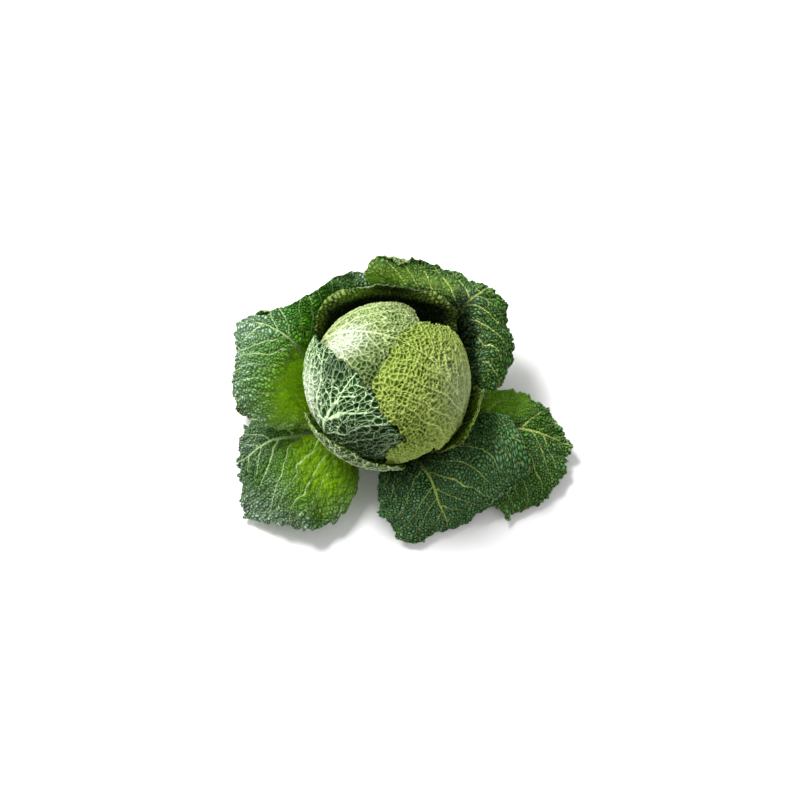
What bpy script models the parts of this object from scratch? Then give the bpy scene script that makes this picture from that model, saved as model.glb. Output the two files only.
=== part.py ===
"""A savoy cabbage: a firm round head of crinkled leaves, sitting in a loose rosette of outer leaves.

Metres, +Z up, front -Y.  The origin is the middle of the flat cut under the stump, and z = 0 is the table.
Every leaf is one quilted blade: its veins are raised ribs on the back and its face bulges between them.
"""
import bmesh
import bpy
import numpy as np
from math import asin, cos, degrees, pi, radians, sin

MM = 0.001

# the stump, mm
STUMP_CUT_RADIUS = 20.0
STUMP_TOP_RADIUS = 21.5
STUMP_HEIGHT = 33.0
STUMP_BEVEL = 1.5
LEAF_START = 24.5             # distance of the head leaves' bases from the axis

# the ball of the head, mm: the leaves of the head lie on balls of growing radius round one centre
HEAD_CENTRE = (-1.0, 0.0, 94.0)
HEAD_STRETCH = (1.0, 1.055, 0.90)
HEART_RADIUS = 64.0
BACK_RADIUS = 69.0
LEFT_RADIUS = 73.9
FRONT_RADIUS = 78.7
RIGHT_RADIUS = 83.5
WRAPPER_RADII = (88.0, 85.0, 90.2)

# a leaf, mm
BLADE = 1.5                   # thickness of the blade between its ribs
MIDRIB = 4.6                  # how far the midrib stands out of the back of an outer leaf at its base
SIDE_RIB = 1.1                # the same for the side ribs, beside the midrib
BLISTER = 3.2                 # how far the face of an outer leaf bulges between the ribs
TEETH = 3.0                   # depth of the scallops round the edge
TABLE_CLEARANCE = 3.8         # lowest the face of a drooping leaf comes to the table

SMALL_BLADE = 1.2             # the same for the leaves packed on the head
SMALL_MIDRIB = 1.0
SMALL_SIDE_RIB = 0.7
SMALL_BLISTER = 1.5


# ---- numbers along a line -------------------------------------------------------------------------------------------

def along(values, t):
    """A smooth curve through evenly spaced values, read at t from 0 to 1."""
    p = np.asarray(values, float)
    if p.ndim == 1:
        p = p[:, None]
    p = np.vstack([2*p[0] - p[1], p, 2*p[-1] - p[-2]])
    x = np.clip(np.asarray(t, float), 0, 1)*(len(p) - 3)
    i = np.minimum(x.astype(int), len(p) - 4)
    f = (x - i)[..., None]
    a, b, c, d = p[i], p[i+1], p[i+2], p[i+3]
    out = 0.5*(2*b + (c - a)*f + (2*a - 5*b + 4*c - d)*f**2 + (3*b - 3*c + d - a)*f**3)
    return out[..., 0] if p.shape[1] == 1 else out


def either(side, values, t):
    """A value given along the left half and along the right half of a leaf; a plain number is the same all along."""
    left, right = values if isinstance(values, tuple) and len(values) == 2 else (values, values)
    return np.where(side, *(along(v, t) if np.ndim(v) else v + 0*t for v in (left, right)))


def unit(v):
    return v/np.maximum(np.linalg.norm(v, axis=-1, keepdims=True), 1e-12)


# ---- the shape of a leaf --------------------------------------------------------------------------------------------

def midrib(leaf, a):
    """Point, direction and sideways direction at a share a of the midrib, its upward direction, and its length."""
    t = np.linspace(0, 1, 201)
    r, z = along(leaf["midrib"], t).T
    az = radians(leaf["azimuth"])
    out, side = np.array([cos(az), sin(az), 0]), np.array([-sin(az), cos(az), 0])
    p = r[:, None]*out + z[:, None]*np.array([0, 0, 1.0])
    arc = np.concatenate([[0], np.cumsum(np.linalg.norm(np.diff(p, axis=0), axis=1))])
    tangent = unit(np.gradient(p, arc, axis=0))
    x = a*arc[-1]

    def at(q):
        return np.stack([np.interp(x, arc, q[:, k]) for k in range(3)], -1)

    beyond = (np.maximum(x - arc[-1], 0) + np.minimum(x, 0))[..., None]
    direction = unit(at(tangent))
    return at(p) + beyond*direction, direction, side, np.cross(direction, side), arc[-1]


def flat_leaf(leaf, u, v):
    """Where a point lies on the leaf pressed flat: its share of the length, and mm across; v runs -1 to 1."""
    m = np.abs(v)
    width = either(v > 0, leaf["width"], u)*either(v > 0, leaf["outline"], u)
    length = midrib(leaf, np.zeros(1))[4]
    a = u + leaf["sweep"]*4*u*(1-u)*m**1.5 - either(v > 0, leaf["tip"], u)*u**5*m**2
    b = v*width + (along(leaf["shift"], u) if "shift" in leaf else 0)
    scallop = TEETH*leaf["teeth"]*(np.sin(pi*leaf["rows"]/2*u)**2 - 0.5)*m**8
    nick = TEETH*leaf["teeth"]*(np.sin(pi*leaf["columns"]/4*(v + 1))**2 - 0.5)*u**12/length
    return a + nick, b + np.sign(v)*scallop


def bend(leaf, a, b):
    """The flat leaf bent: across the midrib it turns steadily (cup) and faster towards its edge (curl)."""
    p, _, side, up, _ = midrib(leaf, a)
    left, t, s = b > 0, np.clip(a, 0, 1), np.abs(b)
    cup, curl = np.radians(either(left, leaf["cup"], t)), np.radians(either(left, leaf["curl"], t))
    width, steps = either(left, leaf["width"], t), 24
    x, y = np.zeros_like(s), np.zeros_like(s)
    for k in range(steps):
        q = (k + 0.5)/steps*s/width
        turn = cup*q + curl*q**3
        x, y = x + np.cos(turn)*s/steps, y + np.sin(turn)*s/steps
    return p + np.where(left, x, -x)[..., None]*side + y[..., None]*up


def bowl(leaf, v, a, b):
    """The flat leaf stood round the head like the side of a bowl: the midrib's line is turned about the head's axis by
    the distance across over the bowl's radius, and drawn in and let down towards the leaf's sides."""
    p = midrib(leaf, a)[0]
    radius, spread, drop = leaf["bowl"]
    high = np.clip(p[..., 2]/60, 0, 1)
    r = np.hypot(p[..., 0], p[..., 1])*(1 + (along(spread, (v + 1)/2) - 1)*high)
    turn = radians(leaf["azimuth"]) + b/radius
    return np.stack([r*np.cos(turn), r*np.sin(turn), p[..., 2] - along(drop, (v + 1)/2)*high**2], -1)


def curved(leaf, u, v):
    """The smooth leaf in its place, before its quilting."""
    a, b = flat_leaf(leaf, u, v)
    return bowl(leaf, v, a, b) if "bowl" in leaf else bend(leaf, a, b)


def edge_wave(leaf, u, v):
    """How far the edge waves up and down, mm."""
    turn = np.arctan2(v, (u - 0.45)*1.6)
    edge = np.maximum(np.abs(v), along((0, 0, 0, 0.1, 0.55, 1.0), u))**3
    return leaf["wave"]*edge*(0.6*np.sin(9*turn + leaf["phase"]) + 0.4*np.sin(17.7*turn + 2.1*leaf["phase"]))


def pillow(leaf, u, v):
    """The quilting of the blade: full between the side ribs and columns, nothing along them or where it is narrow."""
    broad = np.clip(1.6*either(v > 0, leaf["outline"], u), 0, 1)
    return broad*(np.sin(pi*leaf["rows"]/2*u)*np.sin(pi*leaf["columns"]/4*(v + 1)))**2


def settled(leaf, u, v):
    """How far a head leaf has sunk towards the leaves under it, mm: along its middle, its left and its right edge."""
    middle, left, right = (along(values, u) for values in leaf["settle"])
    return middle + (np.where(v > 0, left, right) - middle)*np.abs(v)**leaf.get("sharp", 1)


def thickness(leaf, u, v):
    """The blade with its midrib and side ribs, mm."""
    near = np.clip(1 - np.abs(v)*leaf["columns"]/2, 0, 1)
    ribs = np.cos(pi*leaf["rows"]/2*u)**2*(1 - np.abs(v))*(1 - 0.5*u)
    return leaf["blade"] + leaf["rib"]*near*(1 - 0.85*u) + leaf["side_rib"]*ribs


def face_of_leaf(leaf, u, v, normal):
    """The face of the leaf, mm, moved out along its normal by its quilting and the wave of its edge."""
    p = curved(leaf, u, v)
    p = p + normal*(leaf["blister"]*pillow(leaf, u, v) + edge_wave(leaf, u, v))[..., None]
    if leaf["head"]:
        spoke = p - HEAD_CENTRE
        sunk = 1 - settled(leaf, u, v)/np.linalg.norm(spoke, axis=-1)
        return np.array(HEAD_CENTRE) + spoke*sunk[..., None]*HEAD_STRETCH
    over = p[..., 2] - TABLE_CLEARANCE
    p[..., 2] = TABLE_CLEARANCE + 0.5*(over + np.sqrt(over**2 + 5.0**2))      # drooping edges settle on the table
    return p


def leaf_normal(leaf, u, v):
    """The direction the face of the smooth leaf looks in."""
    step = 1e-3

    def smooth(uu, vv):
        return curved(dict(leaf, teeth=0), uu, vv)

    return unit(np.cross(smooth(u + step, v) - smooth(u - step, v), smooth(u, v + step) - smooth(u, v - step)))


def leaf(azimuth, midrib, width, outline, rows=20, columns=20, cup=0, curl=0, sweep=0.10, tip=0.16, teeth=1,
         wave=3.0, phase=0.0, blade=BLADE, rib=MIDRIB, side_rib=SIDE_RIB, blister=BLISTER, head=False, **more):
    """The measurements of one leaf: degrees and mm; pairs are for its left half and its right half."""
    return dict(azimuth=azimuth, midrib=midrib, width=width, outline=outline, rows=rows, columns=columns, cup=cup,
                curl=curl, sweep=sweep, tip=tip, teeth=teeth, wave=wave, phase=phase, blade=blade, rib=rib,
                side_rib=side_rib, blister=blister, head=head, **more)


def head_leaf(azimuth, radius, top, width, outline, rows=14, columns=16, settle=((0, 0),)*3, **more):
    """A leaf lying on a ball: it starts beside the stump and ends top degrees round from the bottom of the ball."""
    turns = np.radians(np.linspace(degrees(asin(LEAF_START/radius)), top, 9))
    line = [(radius*sin(t), HEAD_CENTRE[2] - radius*cos(t)) for t in turns]
    cup = tuple(degrees(w/radius) for w in width)
    return leaf(azimuth, line, width, outline, rows, columns, cup=cup, teeth=0.8, wave=0, blade=SMALL_BLADE,
                rib=SMALL_MIDRIB, side_rib=SMALL_SIDE_RIB, blister=SMALL_BLISTER, head=True, settle=settle, **more)


# ---- Blender objects ------------------------------------------------------------------------------------------------

def clear():
    for thing in list(bpy.data.objects):
        bpy.data.objects.remove(thing, do_unlink=True)


def material(name, colour, roughness):
    mat = bpy.data.materials.new(name)
    mat.use_nodes = True
    shader = mat.node_tree.nodes["Principled BSDF"]
    shader.inputs["Base Color"].default_value = (*colour, 1)
    shader.inputs["Roughness"].default_value = roughness
    return mat


def place(name, mesh, mat, collection):
    thing = bpy.data.objects.new(name, mesh)
    mesh.materials.append(mat)
    collection.objects.link(thing)
    return thing


def build_leaf(name, measures, mat, collection):
    """A grid bent into the leaf, split into triangles, then thickened backwards by its blade and ribs."""
    mesh = bpy.data.meshes.new(name)
    bm = bmesh.new()
    bmesh.ops.create_grid(bm, x_segments=measures["rows"], y_segments=measures["columns"], size=1)
    flat = np.array([v.co for v in bm.verts])
    u, v = (flat[:, 0] + 1)/2, flat[:, 1]
    points = face_of_leaf(measures, u, v, leaf_normal(measures, u, v))
    for vertex, point in zip(bm.verts, points):
        vertex.co = point*MM
    bmesh.ops.triangulate(bm, faces=bm.faces, quad_method="SHORT_EDGE")
    bm.to_mesh(mesh)
    bm.free()
    thing = place(name, mesh, mat, collection)
    deep = thickness(measures, u, v)
    group = thing.vertex_groups.new(name="thickness")
    for index, share in enumerate(deep/deep.max()):
        group.add([index], float(share), "REPLACE")
    solid = thing.modifiers.new("thickness", "SOLIDIFY")
    solid.thickness = float(deep.max())*MM
    solid.offset = -1
    solid.vertex_group = "thickness"
    return thing


def build_stump(collection):
    """The stump: a short cone, cut flat below."""
    mesh = bpy.data.meshes.new("stump")
    bm = bmesh.new()
    bmesh.ops.create_cone(bm, cap_ends=True, segments=32, radius1=STUMP_CUT_RADIUS*MM, radius2=STUMP_TOP_RADIUS*MM,
                          depth=STUMP_HEIGHT*MM)
    bmesh.ops.translate(bm, verts=bm.verts, vec=(0, 0, STUMP_HEIGHT/2*MM))
    bm.to_mesh(mesh)
    bm.free()
    thing = place("stump", mesh, material("stump", (0.72, 0.74, 0.50), 0.6), collection)
    bevel = thing.modifiers.new("bevel", "BEVEL")
    bevel.width = STUMP_BEVEL*MM
    bevel.segments = 2
    return thing


def build_heart(collection):
    """The heart: the packed young leaves inside the head, quilted like them."""
    mesh = bpy.data.meshes.new("heart")
    bm = bmesh.new()
    bmesh.ops.create_uvsphere(bm, u_segments=28, v_segments=16, radius=1)
    way = np.array([v.co for v in bm.verts])
    turn, lift = np.arctan2(way[:, 1], way[:, 0]), np.arccos(np.clip(way[:, 2], -1, 1))
    dip = SMALL_BLISTER*(np.sin(7*turn)*np.sin(8*lift))**2
    points = np.array(HEAD_CENTRE) + way*(HEART_RADIUS - dip)[:, None]*HEAD_STRETCH
    for vertex, point in zip(bm.verts, points):
        vertex.co = point*MM
    bm.to_mesh(mesh)
    bm.free()
    return place("heart", mesh, material("heart", (0.62, 0.66, 0.30), 0.55), collection)


# ---- the leaves of the head -----------------------------------------------------------------------------------------

BROAD = (0.30, 0.75, 1.0, 1.0, 0.9, 0.72, 0.45)
SQUARE = (0.30, 0.75, 1.0, 1.0, 1.0, 0.95, 0.80)


def head_back():
    """Innermost: up the back left of the head and over its top."""
    return head_leaf(158, BACK_RADIUS, 212, (88, 84), (BROAD, (0.30, 0.75, 1.0, 1.0, 1.0, 0.97, 0.75)),
                     shift=(0, 0, -4, -10, -16, -20),
                     settle=((0, -2, -4, -4, -3, -1, 0), (0, -1, -1, -1, 0, 0, 0), (0, -4, -8, -8, -8, -6, -4)))


def head_left():
    """Over the back leaf, up the left of the head to near its top."""
    return head_leaf(220, LEFT_RADIUS, 154, (84, 84), SQUARE, tip=0.12,
                     settle=((0, 0, -2, -2, 0), (0, 0, 0, 0, 0.6), (0, -3, -8, -9, -6)))


def head_front():
    """Low on the front of the head, under the right leaf."""
    return head_leaf(305, FRONT_RADIUS, 124, (60, 48), (0.30, 0.75, 1.0, 1.0, 1.0, 0.9, 0.7), rows=12, columns=12)


def head_right():
    """Outermost: up the right of the head, its broad end lying on the top."""
    left = (0.30, 0.70, 1.0, 1.0, 0.92, 0.76, 0.50)
    right = (0.25, 0.30, 0.34, 0.60, 0.93, 1.0, 0.85)
    return head_leaf(327, RIGHT_RADIUS, 177, (75, 72), (left, right), shift=(0, 0, 4, 12, 19, 17), tip=0.04,
                     sweep=0.02, settle=((0, 0, 0, 0, 1, 3, 6), (0, 0, 0, 0, 0, 1, 2), (0, 0, 0, 0, 0, 1, 4)))


def wrapper_front():
    """A low wrapper hugging the front left of the head."""
    return head_leaf(236, WRAPPER_RADII[1], 99, (62, 54), (0.30, 0.75, 1.0, 1.0, 1.0, 0.92, 0.7), rows=10, columns=16)


def wrapper_right():
    """A low wrapper on the right, its broken edge beside the right leaf."""
    return head_leaf(338, WRAPPER_RADII[0], 96, (36, 32), SQUARE, rows=10, columns=8,
                     settle=((0, 0, 0, -2, -5, -10),)*3)


def wrapper_back():
    """The tall wrapper standing off the back of the head, its side edges rolled outwards."""
    return head_leaf(88, WRAPPER_RADII[2], 117, (80, 70), (0.18, 0.7, 1.0, 1.0, 0.95, 0.85, 0.6), sharp=4,
                     settle=((0, 0, 0, 0, 0, 0, -3), (0, 0, -2, -5, -9, -12), (0, 0, -6, -12, -12, -12)))


# ---- the outer leaves -----------------------------------------------------------------------------------------------

def outer_back_left():
    """Rises at the back left and flops over outwards at its tip."""
    return leaf(154, [(23, 12), (52, 19), (86, 56), (104, 92), (132, 102), (162, 84)], (90, 104),
                ((0.08, 0.6, 0.92, 1.0, 0.95, 0.78, 0.45), (0.08, 0.44, 1.06, 0.94, 0.40, 0.19, 0.12)),
                cup=((45, 24, 5), (35, 20, -10)), curl=((-30, -50, -50), (-10, -10, -20)))


def outer_left():
    """A small low leaf, mostly under its neighbours."""
    return leaf(176, [(22.5, 4.5), (60, 5), (105, 14), (152, 16)], (44, 40), (0.08, 0.15, 0.5, 0.9, 1.0, 0.86, 0.52),
                rows=12, columns=12, cup=10, curl=-30, blister=1.6, rib=1.6, side_rib=0.6, wave=2)


def outer_front_left():
    """Rises off the table, then droops to it with a broad square end."""
    return leaf(200, [(23, 9), (50, 9.5), (86, 30.5), (122, 41), (160, 14)], (94, 42),
                ((0.08, 0.70, 1.06, 1.07, 1.0, 0.82, 0.58), (0.08, 0.4, 0.7, 0.95, 1.0, 0.85, 0.6)),
                cup=((30, 10, 0), (-4, -8, -8)), curl=((-20, -50, -40), (-30, -50, -60)), tip=(-0.10, 0.14),
                phase=1.3)


def outer_front_right():
    """At the front, over the right leaf, drooping to the table."""
    return leaf(297, [(23, 10), (50, 18), (80, 44), (108, 48), (138, 4)], (100, 62),
                ((0.08, 0.62, 0.95, 1.0, 0.98, 0.82, 0.60), (0.08, 0.5, 0.85, 1.0, 1.0, 0.9, 0.6)),
                cup=((35, 35, 35), (0, -10, -10)), curl=((-20, -30, -30), (-60, -70, -60)), tip=(0.14, 0.0), phase=2.1)


def outer_right():
    """The longest leaf, out to the right and drooping to the table."""
    return leaf(349, [(23, 5.5), (55, 9), (108, 30), (150, 37), (194, 12)], (42, 92),
                ((0.10, 0.5, 0.95, 0.95, 0.84, 0.66, 0.42), (0.06, 0.35, 0.75, 0.95, 1.0, 0.90, 0.68)),
                cup=((35, 20, 0), (-6, -23, -38)), curl=((-30, -40, -40), (-30, -30, -30)), tip=(0.16, 0.04), phase=0.7)


def outer_back_right():
    """Stands round the back right of the head like the side of a bowl, its whole rim flopping over outwards."""
    return leaf(46, [(23, 9), (62, 14), (92, 36), (106, 67), (111, 92), (121, 103), (138, 97), (158, 82)], (90, 86),
                ((0.08, 0.5, 0.9, 1.0, 1.0, 1.0, 0.9, 0.7), (0.08, 0.36, 0.7, 0.95, 1.0, 1.0, 0.92, 0.7)), tip=(0.22, 0.08),
                wave=4, phase=3.0, bowl=(100, (0.82, 0.92, 0.97, 0.95, 1.03), (26, 8, 0, 0, -8)))


LEAVES = (
    ("head_back", head_back, (0.42, 0.56, 0.27)),
    ("head_left", head_left, (0.22, 0.36, 0.17)),
    ("head_front", head_front, (0.40, 0.47, 0.16)),
    ("head_right", head_right, (0.45, 0.50, 0.15)),
    ("wrapper_front", wrapper_front, (0.34, 0.46, 0.20)),
    ("wrapper_right", wrapper_right, (0.36, 0.44, 0.16)),
    ("wrapper_back", wrapper_back, (0.20, 0.34, 0.08)),
    ("outer_back_left", outer_back_left, (0.10, 0.26, 0.03)),
    ("outer_left", outer_left, (0.04, 0.13, 0.04)),
    ("outer_front_left", outer_front_left, (0.08, 0.22, 0.05)),
    ("outer_front_right", outer_front_right, (0.04, 0.12, 0.06)),
    ("outer_right", outer_right, (0.06, 0.17, 0.05)),
    ("outer_back_right", outer_back_right, (0.08, 0.18, 0.05)),
)


def main():
    clear()
    collection = bpy.data.collections.new("savoy_cabbage")
    bpy.context.scene.collection.children.link(collection)
    build_stump(collection)
    build_heart(collection)
    for name, measures, colour in LEAVES:
        build_leaf(name, measures(), material(name, colour, 0.5), collection)


main()
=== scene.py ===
"""The looks of a savoy cabbage: its head, wrappers and outer leaves as fine crinkled blades, on a pale stage.

Lengths in the leaf tables are mm and angles degrees; everything handed to Blender is in metres, +Z up, front -Y.
"""
from math import asin, cos, degrees, pi, radians, sin
from types import SimpleNamespace

import bpy
import numpy as np
from bpy.props import FloatProperty, FloatVectorProperty, PointerProperty
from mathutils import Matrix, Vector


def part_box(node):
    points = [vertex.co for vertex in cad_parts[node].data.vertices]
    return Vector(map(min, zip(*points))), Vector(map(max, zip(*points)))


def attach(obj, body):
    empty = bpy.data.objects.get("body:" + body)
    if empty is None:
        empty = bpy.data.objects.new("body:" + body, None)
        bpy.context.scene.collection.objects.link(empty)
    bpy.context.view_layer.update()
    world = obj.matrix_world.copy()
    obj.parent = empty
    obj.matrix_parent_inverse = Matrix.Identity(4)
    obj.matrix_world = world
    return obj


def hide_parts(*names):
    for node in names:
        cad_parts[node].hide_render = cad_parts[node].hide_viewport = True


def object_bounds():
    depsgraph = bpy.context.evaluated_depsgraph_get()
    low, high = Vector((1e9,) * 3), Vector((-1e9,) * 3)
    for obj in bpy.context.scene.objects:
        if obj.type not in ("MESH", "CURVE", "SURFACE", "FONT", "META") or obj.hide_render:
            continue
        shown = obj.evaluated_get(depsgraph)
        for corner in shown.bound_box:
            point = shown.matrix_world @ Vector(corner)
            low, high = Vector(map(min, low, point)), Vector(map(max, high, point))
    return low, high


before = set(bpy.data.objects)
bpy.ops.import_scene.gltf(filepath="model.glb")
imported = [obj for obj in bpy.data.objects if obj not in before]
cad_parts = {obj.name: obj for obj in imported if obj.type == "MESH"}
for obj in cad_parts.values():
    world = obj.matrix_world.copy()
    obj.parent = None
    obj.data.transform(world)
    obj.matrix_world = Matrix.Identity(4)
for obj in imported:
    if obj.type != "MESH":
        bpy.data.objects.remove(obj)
CAD_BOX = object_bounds()

bl_info = {
    "name": "Savoy cabbage",
    "version": (1, 0, 0),
    "blender": (4, 5, 0),
    "location": "View3D > Sidebar > Savoy",
    "description": "Builds the crinkled leaves, heart and stump of a savoy cabbage, and a stage for it",
    "category": "Add Mesh",
}

MM = 0.001
RANDOMNESS = 0.85    # how far a net's cells are shaken out of their rows

HEART_BOX = np.array([list(corner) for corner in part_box("heart")])/MM
STUMP_BOX = np.array([list(corner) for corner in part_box("stump")])/MM
HEAD_CENTRE = HEART_BOX.mean(0)
HEART_SIZE = (HEART_BOX[1] - HEART_BOX[0])/2    # the heart's half sizes
HEAD_RADIUS = 83.5    # of the ball that the head leaves lie on, before it is stretched
HEAD_STRETCH = np.array((1.0, 1.055, 0.90))    # of that ball along x, y and z
BASE_REACH = 24.5    # from the axis to the base of a head leaf, beside the stump
REST_HEIGHT, REST_SOFTNESS = 3.8, 5.0    # how high an outer leaf settles on the table, and how gently it bends to it
FACE_FLOOR, BACK_FLOOR = 1.2, 0.4    # the lowest that an outer leaf's face and back come


def rgb(red, green, blue):
    """A colour given as a screen shows it, 0 to 255, turned into the linear values that Blender works in."""
    c = np.array((red, green, blue))/255
    return tuple(float(x) for x in np.where(c <= 0.04045, c/12.92, ((c + 0.055)/1.055)**2.4))


# ---- settings ----

def setting(name, what, default, **more):
    """A number that a user may change."""
    return FloatProperty(name=name, description=what, default=default, min=0, **more)


def colour(name, what, default):
    """A colour that a user may change."""
    return FloatVectorProperty(name=name, description=what, default=rgb(*default), size=3, subtype="COLOR",
                               min=0, max=1)


class SavoySizes(bpy.types.PropertyGroup):
    """Sizes of the leaves' surface, mm."""
    head_step: setting("Head step", "distance between points of a head leaf", 1.1)
    outer_step: setting("Outer step", "distance between points of an outer leaf", 1.2)
    blade: setting("Blade", "thickness of an outer leaf between its ribs", 1.0)
    head_blade: setting("Head blade", "thickness of a head leaf between its ribs", 1.1)
    midrib: setting("Midrib", "how far the midrib of an outer leaf stands out of its back at its base", 4.6)
    side_rib_gap: setting("Side rib gap", "distance from one side rib to the next", 15.2)
    large_cell: setting("Large cell", "width of the cells between the middling veins", 8.0)
    small_cell: setting("Small cell", "width of the cells of the finest net", 4.2)
    large_swell: setting("Large swell", "how far the face swells between the middling veins", 1.7)
    small_swell: setting("Small swell", "how far the face swells in each small cell", 1.5)
    frill: setting("Frill", "depth of the small teeth round an edge", 2.5)


class SavoyColours(bpy.types.PropertyGroup):
    """Colours of the leaves."""
    young: colour("Young", "yellow-green of the sheltered inner part of a leaf", (64, 118, 6))
    green: colour("Green", "plain leaf green", (36, 92, 10))
    deep: colour("Deep", "dark green of the low outer leaf at the left", (28, 70, 16))
    glowing: colour("Glowing", "green of a leaf with light behind it", (122, 172, 18))
    # painted shade: the darkest green, laid into the grooves between the swellings and over a leaf's shaded places
    groove: colour("Groove", "darkest green, in the grooves between the swellings", (8, 24, 4))
    # the two bloom colours below: the leaves' own grey-white waxy bloom; on a face they lie mostly on the tops of the
    # swellings, where they also paint the highlights
    bloom: colour("Bloom", "grey-white waxy bloom on exposed leaf", (156, 190, 160))
    frost: colour("Frost", "heavier bloom of the outer leaves at the left", (196, 216, 204))
    vein: colour("Vein", "veins of the inner side of the head leaves", (150, 176, 86))
    outer_vein: colour("Outer vein", "pale yellow ribs of the outer leaves", (190, 212, 116))
    frosted_vein: colour("Frosted vein", "greyer ribs of the outer leaves at the left", (176, 202, 140))
    head_cell: colour("Head cell", "green cells of the head's left leaves", (38, 84, 20))
    head_pale: colour("Head pale", "pale green cells of the head's back leaf", (82, 108, 32))
    head_vein: colour("Head vein", "whitish raised net of the head", (202, 214, 154))
    yellow_cell: colour("Yellow cell", "yellow-green cells of the head's right leaf", (128, 152, 56))
    yellow_vein: colour("Yellow vein", "yellow veins of the head's right leaf", (190, 204, 108))
    glare: colour("Glare", "near white of the head where light glances off it", (236, 246, 220))
    stump: colour("Stump", "pale cut stalk", (214, 216, 178))
    floor: colour("Floor", "pale floor", (250, 250, 250))


class SavoyStage(bpy.types.PropertyGroup):
    """Camera and lights."""
    camera_lift: setting("Camera lift", "angle of the camera above the table", radians(65), subtype="ANGLE")
    camera_distance: setting("Camera distance", "from the camera to what it looks at", 1.9, unit="LENGTH")
    lens: setting("Lens", "focal length, mm", 85)
    sky: setting("Sky", "strength of the even light from all round", 0.52)
    key: setting("Key light", "power of the large light at the back left, W", 78)
    fill: setting("Fill light", "power of the light in front, W", 8)
    rim: setting("Rim light", "power of the low light at the left that shines through the leaves, W", 9)


def palette(context):
    """The user's colours by name."""
    colours = context.scene.savoy_colours
    return SimpleNamespace(**{key: tuple(getattr(colours, key)) for key in SavoyColours.__annotations__})


# ---- numbers along a line and over a plane ----

def along(values, t):
    """A smooth curve through evenly spaced values, read at t from 0 to 1: each stretch is the cubic that leaves and
    reaches its ends in the direction of their neighbours."""
    p = np.asarray(values, float)
    if p.ndim == 1:
        p = p[:, None]
    p = np.vstack([2*p[0] - p[1], p, 2*p[-1] - p[-2]])
    x = np.clip(np.asarray(t, float), 0, 1)*(len(p) - 3)
    i = np.minimum(x.astype(int), len(p) - 4)
    f = (x - i)[..., None]
    a, b, c, d = p[i], p[i+1], p[i+2], p[i+3]
    out = 0.5*(2*b + (c - a)*f + (2*a - 5*b + 4*c - d)*f**2 + (3*b - 3*c + d - a)*f**3)
    return out[..., 0] if p.shape[1] == 1 else out


def either(side, values, t):
    """A value given along the left half and along the right half of a leaf; a plain number is the same all along."""
    left, right = values if isinstance(values, tuple) and len(values) == 2 else (values, values)
    return np.where(side, *(along(v, t) if np.ndim(v) else v + 0*t for v in (left, right)))


def unit(v):
    """Arrows cut to length one."""
    return v/np.maximum(np.linalg.norm(v, axis=-1, keepdims=True), 1e-12)


def rise(x, low, high):
    """0 below low, 1 above high, and a smooth step between them."""
    t = np.clip((x - low)/(high - low), 0, 1)
    return t*t*(3 - 2*t)


def scramble(*keys):
    """The random numbers from 0 to 1 that Blender's Voronoi and noise nodes give to two or three numbers: Jenkins'
    lookup3 hash of their bits."""
    bits = [np.asarray(key, np.float32).view(np.uint32) for key in keys] + [np.uint32(0)]
    a, b, c = (np.uint32(0xdeadbeef + 4*len(keys) + 13) + key for key in bits[:3])

    def turn(x, places):
        return (x << np.uint32(places)) | (x >> np.uint32(32 - places))

    for places in (14, 11, 25, 16, 4, 14, 24):
        c = (c ^ b) - turn(b, places)
        a, b, c = b, c, a
    return b/0xffffffff


def scatter(i, j, seed):
    """A settled random number from 0 to 1 for whole numbers i and j."""
    return scramble(i, j + 0*i, seed + 0*i)


def drift(x, y, seed):
    """Smooth random waves from -1 to 1, about one unit across: random numbers at whole points, blended in between."""
    i, j = np.floor(x), np.floor(y)
    f, g = rise(x - i, 0, 1), rise(y - j, 0, 1)
    low = scatter(i, j, seed)*(1 - f) + scatter(i + 1, j, seed)*f
    high = scatter(i, j + 1, seed)*(1 - f) + scatter(i + 1, j + 1, seed)*f
    return 2*(low*(1 - g) + high*g) - 1


def rough(x, y, seed, octaves=3):
    """Smooth random waves with smaller ones on them, each octave half as wide and half as high."""
    return sum(0.5**k*drift(x*2**k, y*2**k, seed + 17*k) for k in range(octaves))


def cells(x, y):
    """The plane of the 2-D Voronoi node at scale 1, broken into cells round one scattered point to a unit square: the
    distance from each place to the nearest wall of its cell, and a random number for the cell."""
    i, j = np.floor(x), np.floor(y)
    spots = []
    for di in (-1, 0, 1):
        for dj in (-1, 0, 1):
            p, q = i + di, j + dj
            tag = scramble(p, q)
            spots.append((p + RANDOMNESS*tag - x, q + RANDOMNESS*scramble(p, q, 1 + 0*p) - y, tag))
    nearest, own_x, own_y, own_tag = np.full(np.shape(x), 9.0), 0*x, 0*y, 0*x
    for p, q, tag in spots:
        far = np.hypot(p, q)
        own_x, own_y, own_tag = (np.where(far < nearest, new, old) for new, old in
                                 ((p, own_x), (q, own_y), (tag, own_tag)))
        nearest = np.minimum(far, nearest)
    wall = np.full(np.shape(x), 9.0)
    for p, q, _ in spots:
        apart = np.hypot(p - own_x, q - own_y)
        to_wall = ((own_x + p)*(p - own_x) + (own_y + q)*(q - own_y))/2/np.maximum(apart, 1e-6)
        wall = np.where(apart > 1e-2, np.minimum(wall, to_wall), wall)
    return wall, own_tag


# ---- meshes ----

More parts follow.
